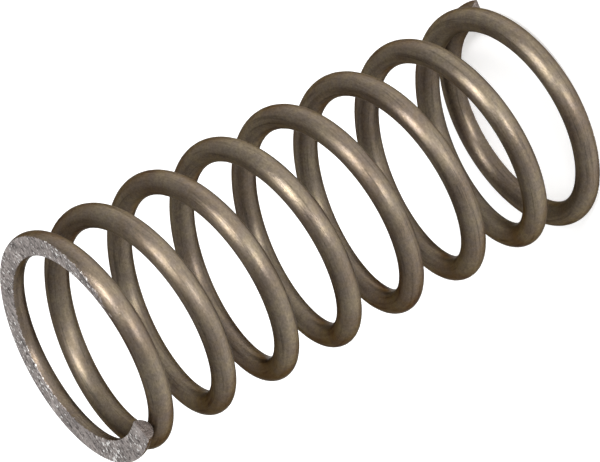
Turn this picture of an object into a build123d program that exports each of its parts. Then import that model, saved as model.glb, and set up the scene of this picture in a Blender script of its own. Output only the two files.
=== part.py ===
"""A small compression spring: one length of round wire, coiled right-handed, with closed and ground ends.

The spring stands on its bottom ground face, with its coil axis on Z and the origin where that axis
meets the face. Lengths are in millimetres, and positions along the wire are in turns from a tip.
"""

from build123d import *
import os
from math import ceil, cos, pi, sin

# Driving dimensions
wire_diameter = 2.0
mean_coil_diameter = 17.7
free_length = 45.0
total_turns = 8.61

# Closed ends: each end coil lies almost flat, then climbs smoothly to the full pitch
end_coil_height = 0.25  # centre line of the flat stretch, in from the ground face
bottom_closed_turns = 0.81  # from the tip to the middle of the climb
bottom_climb_turns = 0.60  # over which the pitch grows from nothing to full
top_closed_turns = 0.742
top_climb_turns = 0.48
coil_drift = 0.24  # how far the middle coils stand above even spacing
end_coil_spread = 0.25  # how much wider in radius a tip is than the middle coils
spread_turns = 1.5  # over which that extra radius fades away

# Wire tips: each is pressed outwards by the coil that it closes against, and ground thin
tip_bend_turns = 0.45
tip_clearance = 0.03
bottom_tip_angle = -16.0  # where the bottom tip is, seen from above

# How finely the centre line is divided
arcs_per_turn = 12

# Worked out from the driving dimensions
mean_radius = mean_coil_diameter / 2
climbing_turns = total_turns - bottom_closed_turns - top_closed_turns
pitch = (free_length - 2 * end_coil_height) / climbing_turns
arc_count = ceil(total_turns * arcs_per_turn)


def fade(x):
    """Goes smoothly from 1 at x = 0 to 0 at x = 1 and beyond."""
    x = min(x, 1.0)
    return 1 - x * x * (3 - 2 * x)


def turns_climbed(turns, closed_turns, climb_turns):
    """Turns at full pitch that give the same rise: the sum of a pitch that grows as a smooth step."""
    start = closed_turns - climb_turns / 2
    x = min(max((turns - start) / climb_turns, 0.0), 1.0)
    return climb_turns * (x**3 - x**4 / 2) + max(turns - start - climb_turns, 0.0)


def relaxed_height(turns):
    """Height of the centre line before the tips are pressed outwards."""
    from_top = total_turns - turns
    if turns < from_top:
        climbed = turns_climbed(turns, bottom_closed_turns, bottom_climb_turns)
        z = end_coil_height + pitch * climbed
    else:
        climbed = turns_climbed(from_top, top_closed_turns, top_climb_turns)
        z = free_length - end_coil_height - pitch * climbed
    return z + coil_drift * 4 * turns * from_top / total_turns**2


# How far each tip is pressed outwards, so that it just clears the coil beside it
one_wire = wire_diameter + tip_clearance
bottom_bend = relaxed_height(0.0) + one_wire - relaxed_height(1.0)
top_bend = relaxed_height(total_turns - 1.0) + one_wire - relaxed_height(total_turns)


def centre_line(turns):
    """Point on the wire's centre line, counted in turns from the bottom tip."""
    from_top = total_turns - turns
    z = relaxed_height(turns)
    z -= bottom_bend * max(1 - turns / tip_bend_turns, 0.0) ** 2
    z += top_bend * max(1 - from_top / tip_bend_turns, 0.0) ** 2
    radius = mean_radius + end_coil_spread * fade(min(turns, from_top) / spread_turns)
    angle = 2 * pi * turns + bottom_tip_angle * pi / 180
    return Vector(radius * cos(angle), radius * sin(angle), z)


# The centre line is a chain of tangent arcs, so the wire is a smooth run of true torus segments
points = [centre_line(total_turns * i / arc_count) for i in range(arc_count + 1)]
start_direction = (centre_line(0.001) - centre_line(0.0)).normalized()

with BuildPart() as spring_wire:
    with BuildLine():
        direction = start_direction
        for start, end in zip(points, points[1:]):
            arc = TangentArc(start, end, tangent=direction)
            direction = arc % 1

    # The wire's section at the bottom tip, where it is cut off square
    with BuildSketch(Plane(origin=points[0], z_dir=start_direction)):
        Circle(wire_diameter / 2)
    sweep(clean=False)

    # Both ends are ground flat, square to the axis, which leaves thin tips and broad seats
    split(bisect_by=Plane.XY, keep=Keep.TOP)
    split(bisect_by=Plane.XY.offset(free_length), keep=Keep.BOTTOM)

spring_wire.part.label = "spring_wire"
os.makedirs("parts", exist_ok=True)
export_step(spring_wire.part, "parts/spring_wire.step")
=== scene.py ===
"""A small compression spring of drawn steel wire, standing on its bottom ground face.

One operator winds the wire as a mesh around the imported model's own box, and another sets the floor,
the backdrop, the soft boxes and the camera. Lengths are in metres. Positions along the wire are in
turns from its bottom tip, and the coil's axis is Z.
"""

from math import cos, pi, radians, sin
from types import SimpleNamespace

import bpy
import numpy as np
from bpy.props import FloatProperty, FloatVectorProperty, IntProperty, PointerProperty
from mathutils import Matrix, Vector


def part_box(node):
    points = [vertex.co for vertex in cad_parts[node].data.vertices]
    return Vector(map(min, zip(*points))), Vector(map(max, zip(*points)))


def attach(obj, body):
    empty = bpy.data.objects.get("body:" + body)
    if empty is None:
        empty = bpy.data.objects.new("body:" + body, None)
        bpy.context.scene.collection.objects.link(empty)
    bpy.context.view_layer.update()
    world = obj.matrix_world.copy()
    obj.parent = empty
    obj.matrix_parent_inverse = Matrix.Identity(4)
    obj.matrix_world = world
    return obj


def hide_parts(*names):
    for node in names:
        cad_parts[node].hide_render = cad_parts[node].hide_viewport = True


bl_info = {
    "name": "Compression Spring",
    "version": (1, 0, 0),
    "blender": (4, 5, 0),
    "location": "View3D > Sidebar > Spring",
    "description": "Winds a compression spring with closed and ground ends, and sets a plain studio round it",
    "category": "Add Mesh",
}

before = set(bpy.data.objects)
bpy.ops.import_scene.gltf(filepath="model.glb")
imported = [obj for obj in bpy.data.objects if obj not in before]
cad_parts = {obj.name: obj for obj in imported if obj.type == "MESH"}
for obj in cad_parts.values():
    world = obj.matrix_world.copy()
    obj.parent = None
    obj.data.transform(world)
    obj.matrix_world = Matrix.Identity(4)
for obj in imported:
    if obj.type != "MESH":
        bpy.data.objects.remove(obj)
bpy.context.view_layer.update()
WIRE_LOW, WIRE_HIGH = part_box("spring_wire")

MM = 0.001

BOTTOM_TIP_ANGLE = radians(-10.5)
COIL_DRIFT = 0.24 * MM     # how far the middle coils stand above even spacing
TIP_CLEARANCE = 0.03 * MM  # between a tip and the coil that it closes against

# Each end coil lies almost flat, then climbs smoothly to the full pitch. The coil that it closes
# against presses its tip outwards, and grinding thins the tip. It is a little wide and oval.
BOTTOM = SimpleNamespace(
    height=0.55 * MM,     # centre line of the flat stretch, in from the ground face
    closed_turns=0.794,   # from the tip to the middle of the climb
    climb_turns=0.49,     # over which the pitch grows from nothing to full
    bend_turns=0.30,      # over which the tip is pressed outwards
    spread=0.083 * MM,    # extra radius at the tip
    oval=0.117 * MM,      # how far the radius swings, twice a turn
    widest=0.636,         # where it is widest
    shift=(-0.16 * MM, 0.09 * MM),  # how far the end coil stands off the axis
)
TOP = SimpleNamespace(
    height=0.535 * MM, closed_turns=0.753, climb_turns=0.74, bend_turns=0.46,
    spread=0.131 * MM, oval=0.072 * MM, widest=0.398, shift=(0.0, 0.0),
)
SPREAD_TURNS = 1.5  # over which the spread, the oval and the shift fade away

# How finely the wire's surface is divided
SIDE_STEPS = 12           # round each of the four stretches of a ring
LEAST_FLAT = radians(12)  # half the arc that stands ready for a ground flat, where there is none
CAP_RINGS = np.array([0.96, 0.86, 0.7, 0.5, 0.25])  # sizes of the rings that close a sheared tip
SHARP_EDGE = radians(24)
ON_PLANE = 1e-7           # how near a point lies to a ground plane that it is on

# Finishes, by their place in the mesh's list of materials
DRAWN, GROUND, SHEARED = 0, 1, 2

# Camera, round the middle of the spring
CAMERA_AZIMUTH, CAMERA_ELEVATION, CAMERA_ROLL = radians(0.345), radians(25.869), radians(-118.079)
CAMERA_OFFSET = Vector((-0.2015 * MM, -0.3067 * MM, 547.14 * MM))  # to its right, up and back

# Surface marks, and the colour of painted glints
LINE_WIDTH = 0.16 * MM
# The glint colour is a painted highlight: near-white spots in the ground steel's colour stand in for sparkles
# of light.
PIT_COLOUR, PAINTED_GLINT_COLOUR, SOOT_COLOUR = (0.07, 0.055, 0.05, 1), (0.95, 0.93, 0.9, 1), (0.05, 0.04, 0.03, 1)
GROUND_RIM = 0.14 * MM  # how far bare steel reaches past the edge of a flat, at most

# Studio
WHITE, CEILING_GREY = (1, 1, 1, 1), (0.58, 0.58, 0.58, 1)
HORIZON_TOP, CEILING_START = radians(8), radians(40)  # elevations between which white turns to grey
FLOOR_GLOW = 0.5
FLOOR_DROP = 0.02 * MM


# ---------------------------------------------------------------- shape of the wire

def fade(x):
    """1 at x = 0, falling smoothly to 0 at x = 1 and beyond: 1 - x^2 (3 - 2x)."""
    x = np.minimum(x, 1.0)
    return 1 - x * x * (3 - 2 * x)


def turns_climbed(turns, end):
    """How many full-pitch turns the wire has climbed since one tip: the integral of a smooth step."""
    start = end.closed_turns - end.climb_turns / 2
    x = np.clip((turns - start) / end.climb_turns, 0.0, 1.0)
    return end.climb_turns * (x**3 - x**4 / 2) + np.maximum(turns - start - end.climb_turns, 0.0)


def relaxed_height(turns, wire):
    """Height of the centre line before its tips are bent. Each end coil is flat, then climbs to the
    pitch, and a parabola that is 0 at both tips lifts the middle coils."""
    climbing = wire.total_turns - BOTTOM.closed_turns - TOP.closed_turns
    pitch = (wire.free_length - BOTTOM.height - TOP.height) / climbing
    from_top = wire.total_turns - turns
    rise = BOTTOM.height + pitch * turns_climbed(turns, BOTTOM)
    fall = TOP.height + pitch * turns_climbed(from_top, TOP)
    drift = COIL_DRIFT * 4 * turns * from_top / wire.total_turns**2
    return np.where(turns < from_top, rise, wire.free_length - fall) + drift


def centre_line(turns, wire):
    """Points of the centre line: a helix that is a little wide and oval towards its tips. The last
    stretch at each end bends outwards by a square law, so that the tip lies one wire from its neighbour."""
    total = wire.total_turns
    from_top = total - turns
    one_wire = wire.wire_diameter + TIP_CLEARANCE
    bottom_bend = relaxed_height(0.0, wire) + one_wire - relaxed_height(1.0, wire)
    top_bend = relaxed_height(total - 1.0, wire) + one_wire - relaxed_height(total, wire)
    z = relaxed_height(turns, wire)
    z = z - bottom_bend * np.maximum(1 - turns / BOTTOM.bend_turns, 0.0) ** 2
    z = z + top_bend * np.maximum(1 - from_top / TOP.bend_turns, 0.0) ** 2
    angle = 2 * pi * turns + BOTTOM_TIP_ANGLE
    radius = wire.mean_coil_diameter / 2
    x, y = 0.0, 0.0
    for from_tip, end in ((turns, BOTTOM), (from_top, TOP)):
        share = fade(from_tip / SPREAD_TURNS)
        radius = radius + share * (end.spread + end.oval * np.cos(4 * pi * (from_tip - end.widest)))
        x, y = x + share * end.shift[0], y + share * end.shift[1]
    return np.stack([x + radius * np.cos(angle), y + radius * np.sin(angle), z], axis=-1)


def ring_axes(turns, wire):
    """At each place on the centre line: the point, the wire's direction, the level axis across the wire
    that points away from the coil's axis, and the axis square to both that points upwards."""
    step = 1e-4
    ahead = centre_line(np.minimum(turns + step, wire.total_turns), wire)
    behind = centre_line(np.maximum(turns - step, 0.0), wire)
    along = ahead - behind
    along /= np.linalg.norm(along, axis=1, keepdims=True)
    across = np.stack([along[:, 1], -along[:, 0], np.zeros(len(along))], axis=1)
    across /= np.linalg.norm(across, axis=1, keepdims=True)
    return centre_line(turns, wire), along, across, np.cross(across, along)


def flat_arc(plane, radius):
    """The stretch of a ring that a ground plane may cut, for planes at a height in wire radii from the
    ring's centre, outwards. Where the plane cuts the circle, the stretch is the straight cut, evenly
    divided. Elsewhere it is a short arc about the circle's outermost point.

    Gives its two coordinates, along and away from the cut, and half the angle that it spans."""
    s = np.linspace(-1, 1, SIDE_STEPS + 1)[:-1]
    ground = np.arccos(np.clip(plane, -1.0, 1.0))[:, None]
    half = np.maximum(ground, LEAST_FLAT)
    straight = np.sin(half) * s
    curved = np.sin(LEAST_FLAT * s)
    is_cut = ground > LEAST_FLAT
    side = np.where(is_cut, straight, curved)
    height = np.where(is_cut, plane[:, None], np.minimum(np.sqrt(1 - curved**2), plane[:, None]))
    return side * radius, height * radius, half


def wire_rings(turns, wire):
    """Rings of points round the wire: first the bottom stretch, then the outer side, the top stretch and
    the inner side. Each ring is a circle about the centre line, cut off level with the bottom plane at
    z = 0 and with the top plane at the free length.

    Gives the points, and their places in the section as two coordinates."""
    radius = wire.wire_diameter / 2
    centre, along, across, upwards = ring_axes(turns, wire)
    below = centre[:, 2] / upwards[:, 2] / radius
    above = (wire.free_length - centre[:, 2]) / upwards[:, 2] / radius
    bottom_side, bottom_height, bottom_half = flat_arc(below, radius)
    top_side, top_height, top_half = flat_arc(above, radius)
    share = np.arange(SIDE_STEPS) / SIDE_STEPS
    first = bottom_half - pi / 2
    outer_angle = first + (pi - bottom_half - top_half) * share
    inner_angle = pi / 2 + top_half + (pi - bottom_half - top_half) * share
    a = [bottom_side, radius * np.cos(outer_angle), -top_side, radius * np.cos(inner_angle)]
    b = [-bottom_height, radius * np.sin(outer_angle), top_height, radius * np.sin(inner_angle)]
    a, b = np.concatenate(a, axis=1), np.concatenate(b, axis=1)
    points = centre[:, None] + a[..., None] * across[:, None] + b[..., None] * upwards[:, None]
    return points, np.stack([a, b], axis=-1)


def end_cap(ring, outwards, wire, seed):
    """Rings that close one tip: the last ring shrunk in steps towards its middle, which stands a little
    proud and uneven, as a sheared face does. Gives the rings and the middle point."""
    middle = ring.mean(axis=0)
    rings = middle + (ring - middle) * CAP_RINGS[:, None, None]
    draws = np.random.default_rng(seed).normal(size=(len(CAP_RINGS), len(ring)))
    smooth = sum(np.roll(draws, k, axis=1) for k in (-2, -1, 0, 1, 2)) / 5
    lift = 0.012 * wire.wire_diameter * (smooth + 1.2 * (1 - CAP_RINGS**6)[:, None])
    return rings + lift[..., None] * outwards, middle + 0.014 * wire.wire_diameter * outwards


def strip_faces(first, second):
    """Quads between two closed rings of the same number of points, given by their numbers. Each argument
    may also be a stack of rings."""
    following = [np.roll(rings, -1, axis=-1) for rings in (second, first)]
    return np.stack([first, second, *following], axis=-1).reshape(-1, 4)


def wire_surface(wire):
    """The wire's closed surface: rings along the centre line, joined ring to ring by quads, and on each
    tip a ladder of shrinking rings that ends in a fan of triangles about the middle point.

    Gives the points, their places on the straightened wire (two section coordinates and the length
    along it), the quads along the wire's sides, those of the caps, the triangles, and the length at
    each ring."""
    count = wire.rings
    turns = wire.total_turns * np.arange(count) / (count - 1)
    rings, section = wire_rings(turns, wire)
    centre, along, _, _ = ring_axes(turns, wire)
    length = np.concatenate([[0], np.cumsum(np.linalg.norm(np.diff(centre, axis=0), axis=1))])
    columns = rings.shape[1]
    numbers = np.arange(count * columns).reshape(count, columns)
    points = [rings.reshape(-1, 3)]
    places = [np.concatenate([section, np.repeat(length[:, None, None], columns, 1)], -1).reshape(-1, 3)]
    cap_quads, triangles = [], []
    start = count * columns
    for end, outwards, seed in ((0, -along[0], 5), (count - 1, along[-1], 9)):
        cap, middle = end_cap(rings[end], outwards, wire, seed)
        flat = section[end] * CAP_RINGS[:, None, None]
        flat = np.concatenate([flat, np.full(flat.shape[:2] + (1,), length[end])], -1)
        points += [cap.reshape(-1, 3), middle[None]]
        places += [flat.reshape(-1, 3), np.array([[0, 0, length[end]]])]
        cap_numbers = start + np.arange(len(CAP_RINGS) * columns).reshape(-1, columns)
        middle_number = cap_numbers[-1, -1] + 1
        start = middle_number + 1
        ladder = np.concatenate([numbers[end][None], cap_numbers])
        if end == 0:
            ladder = ladder[:, ::-1]  # so that the faces at both tips look outwards
        cap_quads.append(strip_faces(ladder[:-1], ladder[1:]))
        rim = ladder[-1]
        triangles.append(np.stack([rim, np.full(columns, middle_number), np.roll(rim, -1)], axis=1))
    side_quads = strip_faces(numbers[:-1], numbers[1:])
    return (np.concatenate(points), np.concatenate(places), side_quads,
            np.concatenate(cap_quads), np.concatenate(triangles), length)


def unrolled(length, columns, girth):
    """UV corners of the side quads: once round the wire from 0 to 1, and along it in the same scale."""
    around = np.broadcast_to(np.arange(columns) / columns, (len(length) - 1, columns)).reshape(-1, 1)
    along = np.repeat(length[:, None], columns, axis=1) / girth
    low, high = along[:-1].reshape(-1, 1), along[1:].reshape(-1, 1)
    u = np.concatenate([around, around, around + 1 / columns, around + 1 / columns], 1)
    return np.stack([u, np.concatenate([low, high, high, low], 1)], axis=-1).reshape(-1, 2)


def wire_mesh(wire):
    """The whole wire as one closed mesh. It keeps each point's place on the straightened wire, and a UV
    map round the wire and along it, so that its finish can follow the wire."""
    points, places, side_quads, cap_quads, triangles, length = wire_surface(wire)
    quads = np.concatenate([side_quads, cap_quads])
    corners = np.concatenate([quads.ravel(), triangles.ravel()])
    sizes = np.concatenate([np.full(len(quads), 4), np.full(len(triangles), 3)])
    starts = np.concatenate([[0], np.cumsum(sizes)[:-1]])
    mesh = bpy.data.meshes.new("coiled_wire")
    mesh.vertices.add(len(points))
    mesh.vertices.foreach_set("co", points.astype(np.float32).ravel())
    mesh.loops.add(len(corners))
    mesh.loops.foreach_set("vertex_index", corners.astype(np.int32))
    mesh.polygons.add(len(sizes))
    mesh.polygons.foreach_set("loop_start", starts.astype(np.int32))

    # A side face is ground where all its corners lie on one of the two ground planes
    z = points[side_quads, 2]
    on_bottom = np.all(np.abs(z) < ON_PLANE, axis=1)
    on_top = np.all(np.abs(z - wire.free_length) < ON_PLANE, axis=1)
    finish = np.full(len(sizes), SHEARED, np.int32)
    finish[: len(side_quads)] = np.where(on_bottom | on_top, GROUND, DRAWN)
    mesh.polygons.foreach_set("material_index", finish)
    mesh.update(calc_edges=True)

    place = mesh.attributes.new("wire_place", "FLOAT_VECTOR", "POINT")
    place.data.foreach_set("vector", places.astype(np.float32).ravel())
    girth = pi * wire.wire_diameter
    side_uv = unrolled(length, 4 * SIDE_STEPS, girth)
    cap_uv = places[corners[side_quads.size:], :2] / girth
    layer = mesh.uv_layers.new(name="wire_unrolled")
    layer.data.foreach_set("uv", np.concatenate([side_uv, cap_uv]).astype(np.float32).ravel())
    mesh.shade_smooth()
    mesh.set_sharp_from_angle(angle=SHARP_EDGE)
    if mesh.validate():
        raise RuntimeError("the wire's mesh has faulty faces")
    return mesh


# ---------------------------------------------------------------- shader nodes

def add_node(tree, kind, inputs=None, **settings):
    """Adds a node. Each of its inputs is a value, or another node's output to link from."""
    made = tree.nodes.new("ShaderNode" + kind)
    for name, value in settings.items():
        setattr(made, name, value)
    for name, value in (inputs or {}).items():
        if isinstance(value, bpy.types.NodeSocket):
            tree.links.new(value, made.inputs[name])
        else:
            made.inputs[name].default_value = value
    return made


def maths(tree, operation, first, second=0.0, clamp=False):
    """The result of one sum on numbers."""
    return add_node(tree, "Math", {0: first, 1: second}, operation=operation, use_clamp=clamp).outputs[0]


def weighted_sum(tree, *terms):
    """The sum of several numbers, each given with its weight."""
    parts = [maths(tree, "MULTIPLY", value, weight) for value, weight in terms]
    total = parts[0]
    for part in parts[1:]:
        total = maths(tree, "ADD", total, part)
    return total


def remap(tree, value, low, high, to_low=0.0, to_high=1.0, smooth=True):
    """The value carried from one range to another, held at its ends."""
    kind = "SMOOTHSTEP" if smooth else "LINEAR"
    inputs = {"Value": value, "From Min": low, "From Max": high, "To Min": to_low, "To Max": to_high}
    return add_node(tree, "MapRange", inputs, interpolation_type=kind).outputs["Result"]


def blend(tree, share, first, second, kind="MIX"):
    """Two colours mixed by a share from 0 to 1."""
    made = add_node(tree, "Mix", {"Factor": share}, data_type="RGBA", blend_type=kind)
    for socket, value in ((made.inputs[6], first), (made.inputs[7], second)):
        if isinstance(value, bpy.types.NodeSocket):
            tree.links.new(value, socket)
        else:
            socket.default_value = value
    return made.outputs[2]


def shaded(tree, colour, level):
    """A colour multiplied by a number."""
    grey = add_node(tree, "CombineColor", {0: level, 1: level, 2: level}).outputs[0]
    return blend(tree, 1.0, colour, grey, "MULTIPLY")


def blend_numbers(tree, share, first, second):
    """Two numbers mixed by a share from 0 to 1."""
    made = add_node(tree, "Mix", {"Factor": share, "A": first, "B": second}, data_type="FLOAT")
    return made.outputs[0]


def stretched_noise(tree, vector, scale, detail=3.0, roughness=0.55, offset=(0, 0, 0)):
    """Noise with its own scale on each axis, in lumps a metre."""
    scaled = add_node(tree, "VectorMath", {0: vector, 1: scale}, operation="MULTIPLY").outputs[0]
    moved = add_node(tree, "VectorMath", {0: scaled, 1: offset}, operation="ADD").outputs[0]
    inputs = {"Vector": moved, "Scale": 1.0, "Detail": detail, "Roughness": roughness}
    return add_node(tree, "TexNoise", inputs).outputs["Fac"]


def link_all(tree, outputs, sockets):
    """Links each named output to the socket of that name."""
    for name, output in outputs.items():
        tree.links.new(output, sockets[name])


def new_group(name, takes, gives):
    """A shader node group with named inputs (name, type, default) and outputs (name, type)."""
    group = bpy.data.node_groups.new(name, "ShaderNodeTree")
    for label, kind, default in takes:
        socket = group.interface.new_socket(label, in_out="INPUT", socket_type="NodeSocket" + kind)
        if default is not None:
            socket.default_value = default
    for label, kind in gives:
        group.interface.new_socket(label, in_out="OUTPUT", socket_type="NodeSocket" + kind)
    return group, group.nodes.new("NodeGroupInput").outputs, group.nodes.new("NodeGroupOutput").inputs


def use_group(tree, group, inputs):
    """Places a node group in a material and gives its outputs."""
    made = tree.nodes.new("ShaderNodeGroup")
    made.node_tree = group
    for name, value in inputs.items():
        if isinstance(value, bpy.types.NodeSocket):
            tree.links.new(value, made.inputs[name])
        else:
            made.inputs[name].default_value = value
    return made.outputs


def drawn_marks_group():
    """Marks that drawing leaves on wire: long fine lines along it, broader bands, small pits, a fine
    grain that is a little longer than wide, and dark streaks here and there."""
    group, takes, gives = new_group(
        "Drawn marks", [("Place", "Vector", None), ("Line Length", "Float", 0.009)],
        [(name, "Float") for name in ("Lines", "Bands", "Pits", "Grain", "Streaks")])
    place = takes["Place"]
    parts = add_node(group, "SeparateXYZ", {0: place}).outputs
    squeeze = maths(group, "MULTIPLY", maths(group, "DIVIDE", 1.0, takes["Line Length"]), LINE_WIDTH)
    slow = add_node(group, "CombineXYZ", {
        0: parts[0], 1: parts[1], 2: maths(group, "MULTIPLY", parts[2], squeeze)}).outputs[0]
    lines = stretched_noise(group, slow, (6200, 6200, 6200), detail=4, roughness=0.62)
    bands = stretched_noise(group, slow, (1500, 1500, 1500), detail=2, offset=(7, 3, 1))
    pits = stretched_noise(group, place, (7000, 7000, 3500), detail=2, offset=(2, 9, 4))
    grain = stretched_noise(group, place, (6200, 6200, 4300), detail=3, roughness=0.72, offset=(5, 5, 8))
    streaks = stretched_noise(group, slow, (3800, 3800, 9000), detail=3, offset=(8, 1, 6))
    link_all(group, {
        "Lines": remap(group, lines, 0.3, 0.7, smooth=False),
        "Bands": remap(group, bands, 0.3, 0.7),
        "Pits": remap(group, pits, 0.66, 0.78),
        "Grain": remap(group, grain, 0.3, 0.7, smooth=False),
        "Streaks": remap(group, streaks, 0.56, 0.68),
    }, gives)
    return group


def mottling_group():
    """Soft patches of uneven colour, and specks a sixth of their size."""
    group, takes, gives = new_group(
        "Mottling", [("Vector", "Vector", None), ("Patch Size", "Float", 0.003)],
        [("Patches", "Float"), ("Specks", "Float")])
    scale = maths(group, "DIVIDE", 1.0, takes["Patch Size"])
    speck_scale = maths(group, "MULTIPLY", scale, 6.0)
    vector = takes["Vector"]
    patches = add_node(group, "TexNoise", {"Vector": vector, "Scale": scale, "Detail": 4.0})
    specks = add_node(group, "TexNoise", {"Vector": vector, "Scale": speck_scale, "Detail": 3.0})
    link_all(group, {
        "Patches": remap(group, patches.outputs["Fac"], 0.35, 0.65),
        "Specks": remap(group, specks.outputs["Fac"], 0.38, 0.62),
    }, gives)
    return group


def ground_steel_group():
    """Bare steel from a grinding wheel: grey and grainy, with scratches all one way, uneven blotches and dark
    pits between them. Its short bright glints in clusters are painted highlights: near-white colour, a little
    smoother."""
    group, takes, gives = new_group(
        "Ground steel",
        [("Vector", "Vector", None), ("Steel", "Color", (0.3, 0.28, 0.27, 1)),
         ("Scratch Angle", "Float", 0.29)],
        [("Color", "Color"), ("Roughness", "Float"), ("Height", "Float"), ("Grain", "Float")])
    turn = maths(group, "MULTIPLY", takes["Scratch Angle"], -1.0)
    spin = add_node(group, "CombineXYZ", {0: 0.0, 1: 0.0, 2: turn}).outputs[0]
    level = add_node(group, "Mapping", {"Vector": takes["Vector"], "Rotation": spin}).outputs[0]
    scratches = stretched_noise(group, level, (1400, 4200, 3000), detail=3, roughness=0.6)
    pits = stretched_noise(group, level, (2300, 3200, 2300), detail=2, roughness=0.65, offset=(5, 1, 3))
    glints = stretched_noise(group, level, (2600, 4000, 2600), detail=1, offset=(1, 8, 6))
    clusters = stretched_noise(group, level, (260, 260, 260), detail=1, offset=(4, 2, 7))
    grain = stretched_noise(group, level, (3000, 4200, 3000), detail=4, roughness=0.75, offset=(3, 3, 3))
    blotches = stretched_noise(group, level, (750, 950, 750), detail=3, offset=(9, 5, 1))
    tone = weighted_sum(group, (scratches, 0.45), (grain, 1.1), (blotches, 0.7))
    steel = shaded(group, takes["Steel"], remap(group, tone, 0.85, 1.4, 0.3, 1.7, smooth=False))
    steel = blend(group, remap(group, pits, 0.34, 0.46, 0.9, 0.0), steel, PIT_COLOUR)
    # Painted highlights: where the glint noise peaks, the colour turns near-white to stand in for sparkles of
    # light.
    painted_glint_share = remap(group, weighted_sum(group, (glints, 1.0), (clusters, 0.45)), 0.85, 0.93)
    rough = remap(group, grain, 0.3, 0.7, 0.5, 0.68, smooth=False)
    link_all(group, {
        "Color": blend(group, painted_glint_share, steel, PAINTED_GLINT_COLOUR),
        "Roughness": blend_numbers(group, painted_glint_share, rough, 0.35),
        "Height": weighted_sum(group, (scratches, 0.3), (pits, 0.9), (grain, 0.8)),
        "Grain": grain,
    }, gives)
    return group


def new_material(name):
    """An empty material with its output and one Principled shader for metal."""
    material = bpy.data.materials.new(name)
    material.use_nodes = True
    tree = material.node_tree
    tree.nodes.clear()
    shader = tree.nodes.new("ShaderNodeBsdfPrincipled")
    output = tree.nodes.new("ShaderNodeOutputMaterial")
    tree.links.new(shader.outputs[0], output.inputs[0])
    return material, tree, shader


def drawn_wire_material(finish, wire, groups):
    """Heat-browned drawn wire: semi-gloss, with lines along the wire that spread its highlights across
    it. Within a ragged hair's breadth of a ground flat the bare ground steel shows instead."""
    material, tree, shader = new_material("drawn wire")
    shader.inputs["Metallic"].default_value = 1.0
    shader.inputs["Anisotropic"].default_value = 0.5
    shader.inputs["Specular Tint"].default_value = finish.edge_tint
    coordinates = add_node(tree, "TexCoord").outputs["Object"]
    place = add_node(tree, "Attribute", attribute_name="wire_place").outputs["Vector"]
    marks = use_group(tree, groups["marks"], {"Place": place, "Line Length": 0.009})
    mottling = use_group(tree, groups["mottling"], {"Vector": coordinates, "Patch Size": 0.0042})
    ground = use_group(tree, groups["ground"], {
        "Vector": coordinates, "Steel": finish.ground_steel, "Scratch Angle": finish.scratch_angle})

    colour = blend(tree, mottling["Patches"], finish.brown, finish.olive)
    colour = blend(tree, maths(tree, "MULTIPLY", mottling["Specks"], 0.4), colour, finish.grey_film)
    level = remap(tree, marks["Lines"], 0.0, 1.0, 0.92, 1.08, smooth=False)
    for name, low, high in (("Grain", 0.76, 1.22), ("Streaks", 1.03, 0.74)):
        level = maths(tree, "MULTIPLY", level, remap(tree, marks[name], 0.0, 1.0, low, high, smooth=False))
    colour = shaded(tree, colour, level)
    colour = blend(tree, maths(tree, "MULTIPLY", marks["Pits"], 0.6), colour, SOOT_COLOUR)
    smoothest, roughest = finish.gloss_roughness - 0.05, finish.gloss_roughness + 0.07
    rough = remap(tree, marks["Bands"], 0.0, 1.0, smoothest, roughest, smooth=False)
    rough = maths(tree, "ADD", rough, maths(tree, "MULTIPLY", mottling["Patches"], 0.05))
    height = weighted_sum(tree, (marks["Lines"], 0.5), (marks["Grain"], 0.8), (marks["Pits"], -0.8))

    # Bare ground steel along the edges of the flats, with its painted glints
    z = add_node(tree, "SeparateXYZ", {0: coordinates}).outputs[2]
    depth = maths(tree, "MINIMUM", z, maths(tree, "SUBTRACT", wire.free_length, z))
    reach = remap(tree, ground["Grain"], 0.35, 0.7, -0.02 * MM, GROUND_RIM, smooth=False)
    bare = remap(tree, maths(tree, "SUBTRACT", reach, depth), 0.0, 0.03 * MM)
    height = blend_numbers(tree, bare, height, ground["Height"])
    link_all(tree, {
        "Base Color": blend(tree, bare, colour, ground["Color"]),
        "Roughness": blend_numbers(tree, bare, rough, ground["Roughness"]),
        "Normal": add_node(tree, "Bump", {
            "Height": height, "Distance": 0.006 * MM, "Strength": 1.0}).outputs[0],
        "Tangent": add_node(tree, "Tangent", direction_type="UV_MAP", uv_map="wire_unrolled").outputs[0],
    }, shader.inputs)
    return material


def ground_end_material(finish, groups):
    """The flats: bare steel straight from the grinding wheel, with glints painted into its colour as
    highlights.
    """
    material, tree, shader = new_material("ground end")
    shader.inputs["Metallic"].default_value = 1.0
    coordinates = add_node(tree, "TexCoord").outputs["Object"]
    ground = use_group(tree, groups["ground"], {
        "Vector": coordinates, "Steel": finish.ground_steel, "Scratch Angle": finish.scratch_angle})
    bump = add_node(tree, "Bump", {"Height": ground["Height"], "Distance": 0.05 * MM, "Strength": 1.0})
    link_all(tree, {
        "Base Color": ground["Color"], "Roughness": ground["Roughness"], "Normal": bump.outputs[0],
    }, shader.inputs)
    return material


def sheared_tip_material(finish, groups):
    """The cut ends of the wire: dull, torn steel."""
    material, tree, shader = new_material("sheared tip")
    shader.inputs["Metallic"].default_value = 1.0
    coordinates = add_node(tree, "TexCoord").outputs["Object"]
    mottling = use_group(tree, groups["mottling"], {"Vector": coordinates, "Patch Size": 0.0006})
    height = weighted_sum(tree, (mottling["Patches"], 1.0), (mottling["Specks"], 0.4))
    bump = add_node(tree, "Bump", {"Height": height, "Distance": 0.04 * MM, "Strength": 1.0})
    link_all(tree, {
        "Base Color": blend(tree, mottling["Patches"], finish.torn_steel, finish.grey_film),
        "Roughness": remap(tree, mottling["Specks"], 0.0, 1.0, 0.45, 0.65),
        "Normal": bump.outputs[0],
    }, shader.inputs)
    return material


# ---------------------------------------------------------------- settings

def colour_property(name, description, default):
    """A colour with its description, as red, green, blue and alpha."""
    return FloatVectorProperty(name=name, description=description, default=default,
                               size=4, subtype="COLOR", min=0.0, max=1.0)


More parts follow.
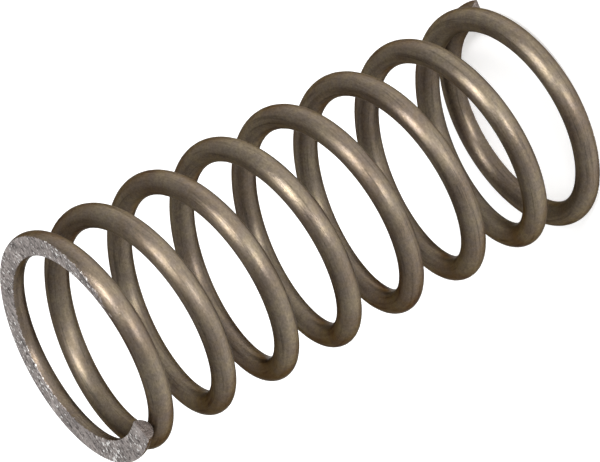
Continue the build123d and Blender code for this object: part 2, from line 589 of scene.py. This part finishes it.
class SpringWireSettings(bpy.types.PropertyGroup):
    """Sizes of the wound wire."""
    wire_diameter: FloatProperty(
        name="Wire diameter", description="Thickness of the round wire",
        default=2.0 * MM, min=0.0001, precision=5, unit="LENGTH")
    mean_coil_diameter: FloatProperty(
        name="Mean coil diameter", description="Across the middle coils, from wire centre to wire centre",
        default=17.7 * MM, min=0.001, precision=5, unit="LENGTH")
    free_length: FloatProperty(
        name="Free length", description="Between the ground faces, with no load",
        default=WIRE_HIGH.z - WIRE_LOW.z, min=0.001, precision=5, unit="LENGTH")
    total_turns: FloatProperty(
        name="Total turns", description="From one wire tip to the other", default=8.605, min=3.0)
    rings: IntProperty(
        name="Rings", description="How many rings of points the wire's surface has along it",
        default=1500, min=100, max=2000)


class SpringFinishSettings(bpy.types.PropertyGroup):
    """Colours and gloss of the wire and its ends."""
    brown: colour_property("Brown", "Heat-browned drawn surface", (0.165, 0.127, 0.092, 1))
    olive: colour_property("Olive", "Lighter, greener patches of the drawn surface", (0.206, 0.168, 0.118, 1))
    grey_film: colour_property("Grey film", "Purplish grey patches", (0.142, 0.118, 0.108, 1))
    edge_tint: colour_property("Edge tint", "Drawn surface at a glancing angle", (0.24, 0.225, 0.21, 1))
    ground_steel: colour_property("Ground steel", "Bare steel of the ground ends", (0.33, 0.295, 0.28, 1))
    torn_steel: colour_property("Torn steel", "Sheared tips of the wire", (0.20, 0.17, 0.155, 1))
    gloss_roughness: FloatProperty(
        name="Roughness", description="Roughness of the drawn surface", default=0.37, min=0.05, max=0.9,
        subtype="FACTOR")
    scratch_angle: FloatProperty(
        name="Scratch angle", description="Direction of the grinding scratches, from X",
        default=radians(16.5), subtype="ANGLE")


class SpringStageSettings(bpy.types.PropertyGroup):
    """Floor, light and camera."""
    floor_colour: colour_property("Floor", "Plain floor", (0.8, 0.8, 0.8, 1))
    floor_radius: FloatProperty(
        name="Floor radius", description="How far the floor reaches", default=1.5, min=0.2, unit="LENGTH")
    light_level: FloatProperty(
        name="Light level", description="Strength of the plain light from all round", default=0.75, min=0.0)
    lens: FloatProperty(
        name="Lens", description="Focal length of the camera", default=413.2 * MM, min=0.01,
        precision=4, unit="LENGTH")


# ---------------------------------------------------------------- operators

class SPRING_OT_wind_wire(bpy.types.Operator):
    """Wind the wire of the spring, with its drawn, ground and sheared finishes"""
    bl_idname = "spring.wind_wire"
    bl_label = "Wind Wire"
    bl_options = {"REGISTER", "UNDO"}

    def execute(self, context):
        wire = context.scene.spring_wire
        finish = context.scene.spring_finish
        groups = {"marks": drawn_marks_group(), "mottling": mottling_group(), "ground": ground_steel_group()}
        mesh = wire_mesh(wire)
        mesh.materials.append(drawn_wire_material(finish, wire, groups))
        mesh.materials.append(ground_end_material(finish, groups))
        mesh.materials.append(sheared_tip_material(finish, groups))
        piece = bpy.data.objects.new("coiled_wire", mesh)
        context.scene.collection.objects.link(piece)
        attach(piece, "root")
        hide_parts("spring_wire")
        return {"FINISHED"}


def camera_axes():
    """The camera's right, up and backward directions. It stands at an azimuth and elevation round the
    spring, and is rolled about its own line of sight."""
    level_back = Vector((sin(CAMERA_AZIMUTH), -cos(CAMERA_AZIMUTH), 0))
    back = level_back * cos(CAMERA_ELEVATION) + Vector((0, 0, sin(CAMERA_ELEVATION)))
    level = Vector((cos(CAMERA_AZIMUTH), sin(CAMERA_AZIMUTH), 0))
    right = cos(CAMERA_ROLL) * level + sin(CAMERA_ROLL) * back.cross(level)
    return Matrix((right, back.cross(right), back)).transposed()


def shown_rays(tree):
    """1 for rays from the camera, straight or by way of metal or glass, and 0 for those that light
    surfaces."""
    path = add_node(tree, "LightPath").outputs
    seen = maths(tree, "MAXIMUM", path["Is Camera Ray"], path["Is Glossy Ray"])
    return maths(tree, "MAXIMUM", seen, path["Is Transmission Ray"])


def add_floor(scene, stage):
    """A plain round sheet under the spring, with a soft glow that the shadow still shows on."""
    sides = 96
    angle = 2 * pi * np.arange(sides) / sides
    rim = np.stack([np.cos(angle), np.sin(angle), np.zeros(sides)], 1) * stage.floor_radius
    mesh = bpy.data.meshes.new("floor")
    mesh.from_pydata(rim.tolist(), [], [list(range(sides))])
    floor = bpy.data.objects.new("floor", mesh)
    floor.location.z = -FLOOR_DROP
    scene.collection.objects.link(floor)
    material, tree, shader = new_material("floor")
    shader.inputs["Base Color"].default_value = stage.floor_colour
    shader.inputs["Roughness"].default_value = 0.9
    shader.inputs["Specular IOR Level"].default_value = 0.0
    shader.inputs["Emission Color"].default_value = WHITE
    glow = maths(tree, "MULTIPLY", shown_rays(tree), FLOOR_GLOW)
    tree.links.new(glow, shader.inputs["Emission Strength"])
    mesh.materials.append(material)


def add_backdrop(scene, stage):
    """White all round the horizon, and grey overhead like a studio's ceiling."""
    world = bpy.data.worlds.new("backdrop")
    scene.world = world
    world.use_nodes = True
    tree = world.node_tree
    tree.nodes.clear()
    direction = add_node(tree, "TexCoord").outputs["Generated"]
    up = add_node(tree, "SeparateXYZ", {0: direction}).outputs[2]
    overhead = remap(tree, up, sin(HORIZON_TOP), sin(CEILING_START))
    plain = (stage.light_level,) * 3 + (1,)
    colour = blend(tree, shown_rays(tree), plain, blend(tree, overhead, WHITE, CEILING_GREY))
    background = add_node(tree, "Background", {"Color": colour, "Strength": 1.0})
    output = tree.nodes.new("ShaderNodeOutputWorld")
    tree.links.new(background.outputs[0], output.inputs[0])


def soft_box(scene, name, direction, distance, long_way, size, radiance):
    """A soft box that looks at the middle of the spring, with its length turned the given way. Radiance
    is how bright its face is, where 1 is the white of the floor."""
    light = bpy.data.lights.new(name, "AREA")
    light.shape = "RECTANGLE"
    light.size, light.size_y = size
    light.energy = radiance * pi * size[0] * size[1]
    lamp = bpy.data.objects.new(name, light)
    back = Vector(direction).normalized()
    upward = back.cross(Vector(long_way)).normalized()
    turned = Matrix((upward.cross(back), upward, back)).transposed().to_4x4()
    middle = Vector((0, 0, WIRE_HIGH.z / 2))
    lamp.matrix_world = Matrix.Translation(middle + back * distance) @ turned
    scene.collection.objects.link(lamp)


def add_soft_boxes(scene, axes):
    """A soft box on each side of the camera, and two weaker strips that draw out the highlights along
    the wire. All are placed by the camera's axes."""
    left = axes @ Vector((-0.554, 0.115, 0.824))
    right = axes @ Vector((0.554, 0.115, 0.824))
    right.z = 0.09  # lifted clear of the floor
    left_strip, front_strip = axes @ Vector((-0.62, 0.04, 0.78)), axes @ Vector((0.0, 0.12, 0.99))
    slanting, sideways = axes @ Vector((0.74, 0.88, 0.8)), axes @ Vector((1, 0, 0))
    soft_box(scene, "left soft box", left, 0.28, slanting, (0.10, 0.065), 19)
    soft_box(scene, "left strip", left_strip, 0.55, slanting, (0.60, 0.18), 3.5)
    soft_box(scene, "front strip", front_strip, 0.6, sideways, (0.6, 0.11), 2)
    soft_box(scene, "right soft box", right, 0.55, (1, 0, 0), (0.14, 0.10), 24)


def add_camera(scene, stage, axes):
    """The camera that the scene renders through."""
    data = bpy.data.cameras.new("camera")
    data.sensor_width = 36
    data.lens = stage.lens / MM
    data.clip_start, data.clip_end = 0.01, 10
    camera = bpy.data.objects.new("camera", data)
    middle = Vector((0, 0, scene.spring_wire.free_length / 2))
    camera.matrix_world = Matrix.Translation(middle + axes @ CAMERA_OFFSET) @ axes.to_4x4()
    scene.collection.objects.link(camera)
    scene.camera = camera


class SPRING_OT_set_stage(bpy.types.Operator):
    """Set the floor, the backdrop, the soft boxes and the camera"""
    bl_idname = "spring.set_stage"
    bl_label = "Set Stage"
    bl_options = {"REGISTER", "UNDO"}

    def execute(self, context):
        scene = context.scene
        stage = scene.spring_stage
        scene.view_settings.view_transform = "Standard"
        axes = camera_axes()
        add_floor(scene, stage)
        add_backdrop(scene, stage)
        add_soft_boxes(scene, axes)
        add_camera(scene, stage, axes)
        return {"FINISHED"}


class SPRING_PT_panel(bpy.types.Panel):
    """Lists the settings and the two steps"""
    bl_label = "Compression Spring"
    bl_idname = "SPRING_PT_panel"
    bl_space_type = "VIEW_3D"
    bl_region_type = "UI"
    bl_category = "Spring"

    def draw(self, context):
        column = self.layout.column()
        for group in (context.scene.spring_wire, context.scene.spring_finish, context.scene.spring_stage):
            for name in group.bl_rna.properties.keys():
                if name not in {"rna_type", "name"}:
                    column.prop(group, name)
            column.separator()
        column.operator(SPRING_OT_wind_wire.bl_idname)
        column.operator(SPRING_OT_set_stage.bl_idname)


CLASSES = (SpringWireSettings, SpringFinishSettings, SpringStageSettings,
           SPRING_OT_wind_wire, SPRING_OT_set_stage, SPRING_PT_panel)


def register():
    for kind in CLASSES:
        bpy.utils.register_class(kind)
    bpy.types.Scene.spring_wire = PointerProperty(type=SpringWireSettings)
    bpy.types.Scene.spring_finish = PointerProperty(type=SpringFinishSettings)
    bpy.types.Scene.spring_stage = PointerProperty(type=SpringStageSettings)


def unregister():
    del bpy.types.Scene.spring_stage
    del bpy.types.Scene.spring_finish
    del bpy.types.Scene.spring_wire
    for kind in reversed(CLASSES):
        bpy.utils.unregister_class(kind)


def main():
    """Builds everything in order."""
    register()
    bpy.ops.spring.wind_wire()
    bpy.ops.spring.set_stage()


if __name__ == "__main__":
    main()
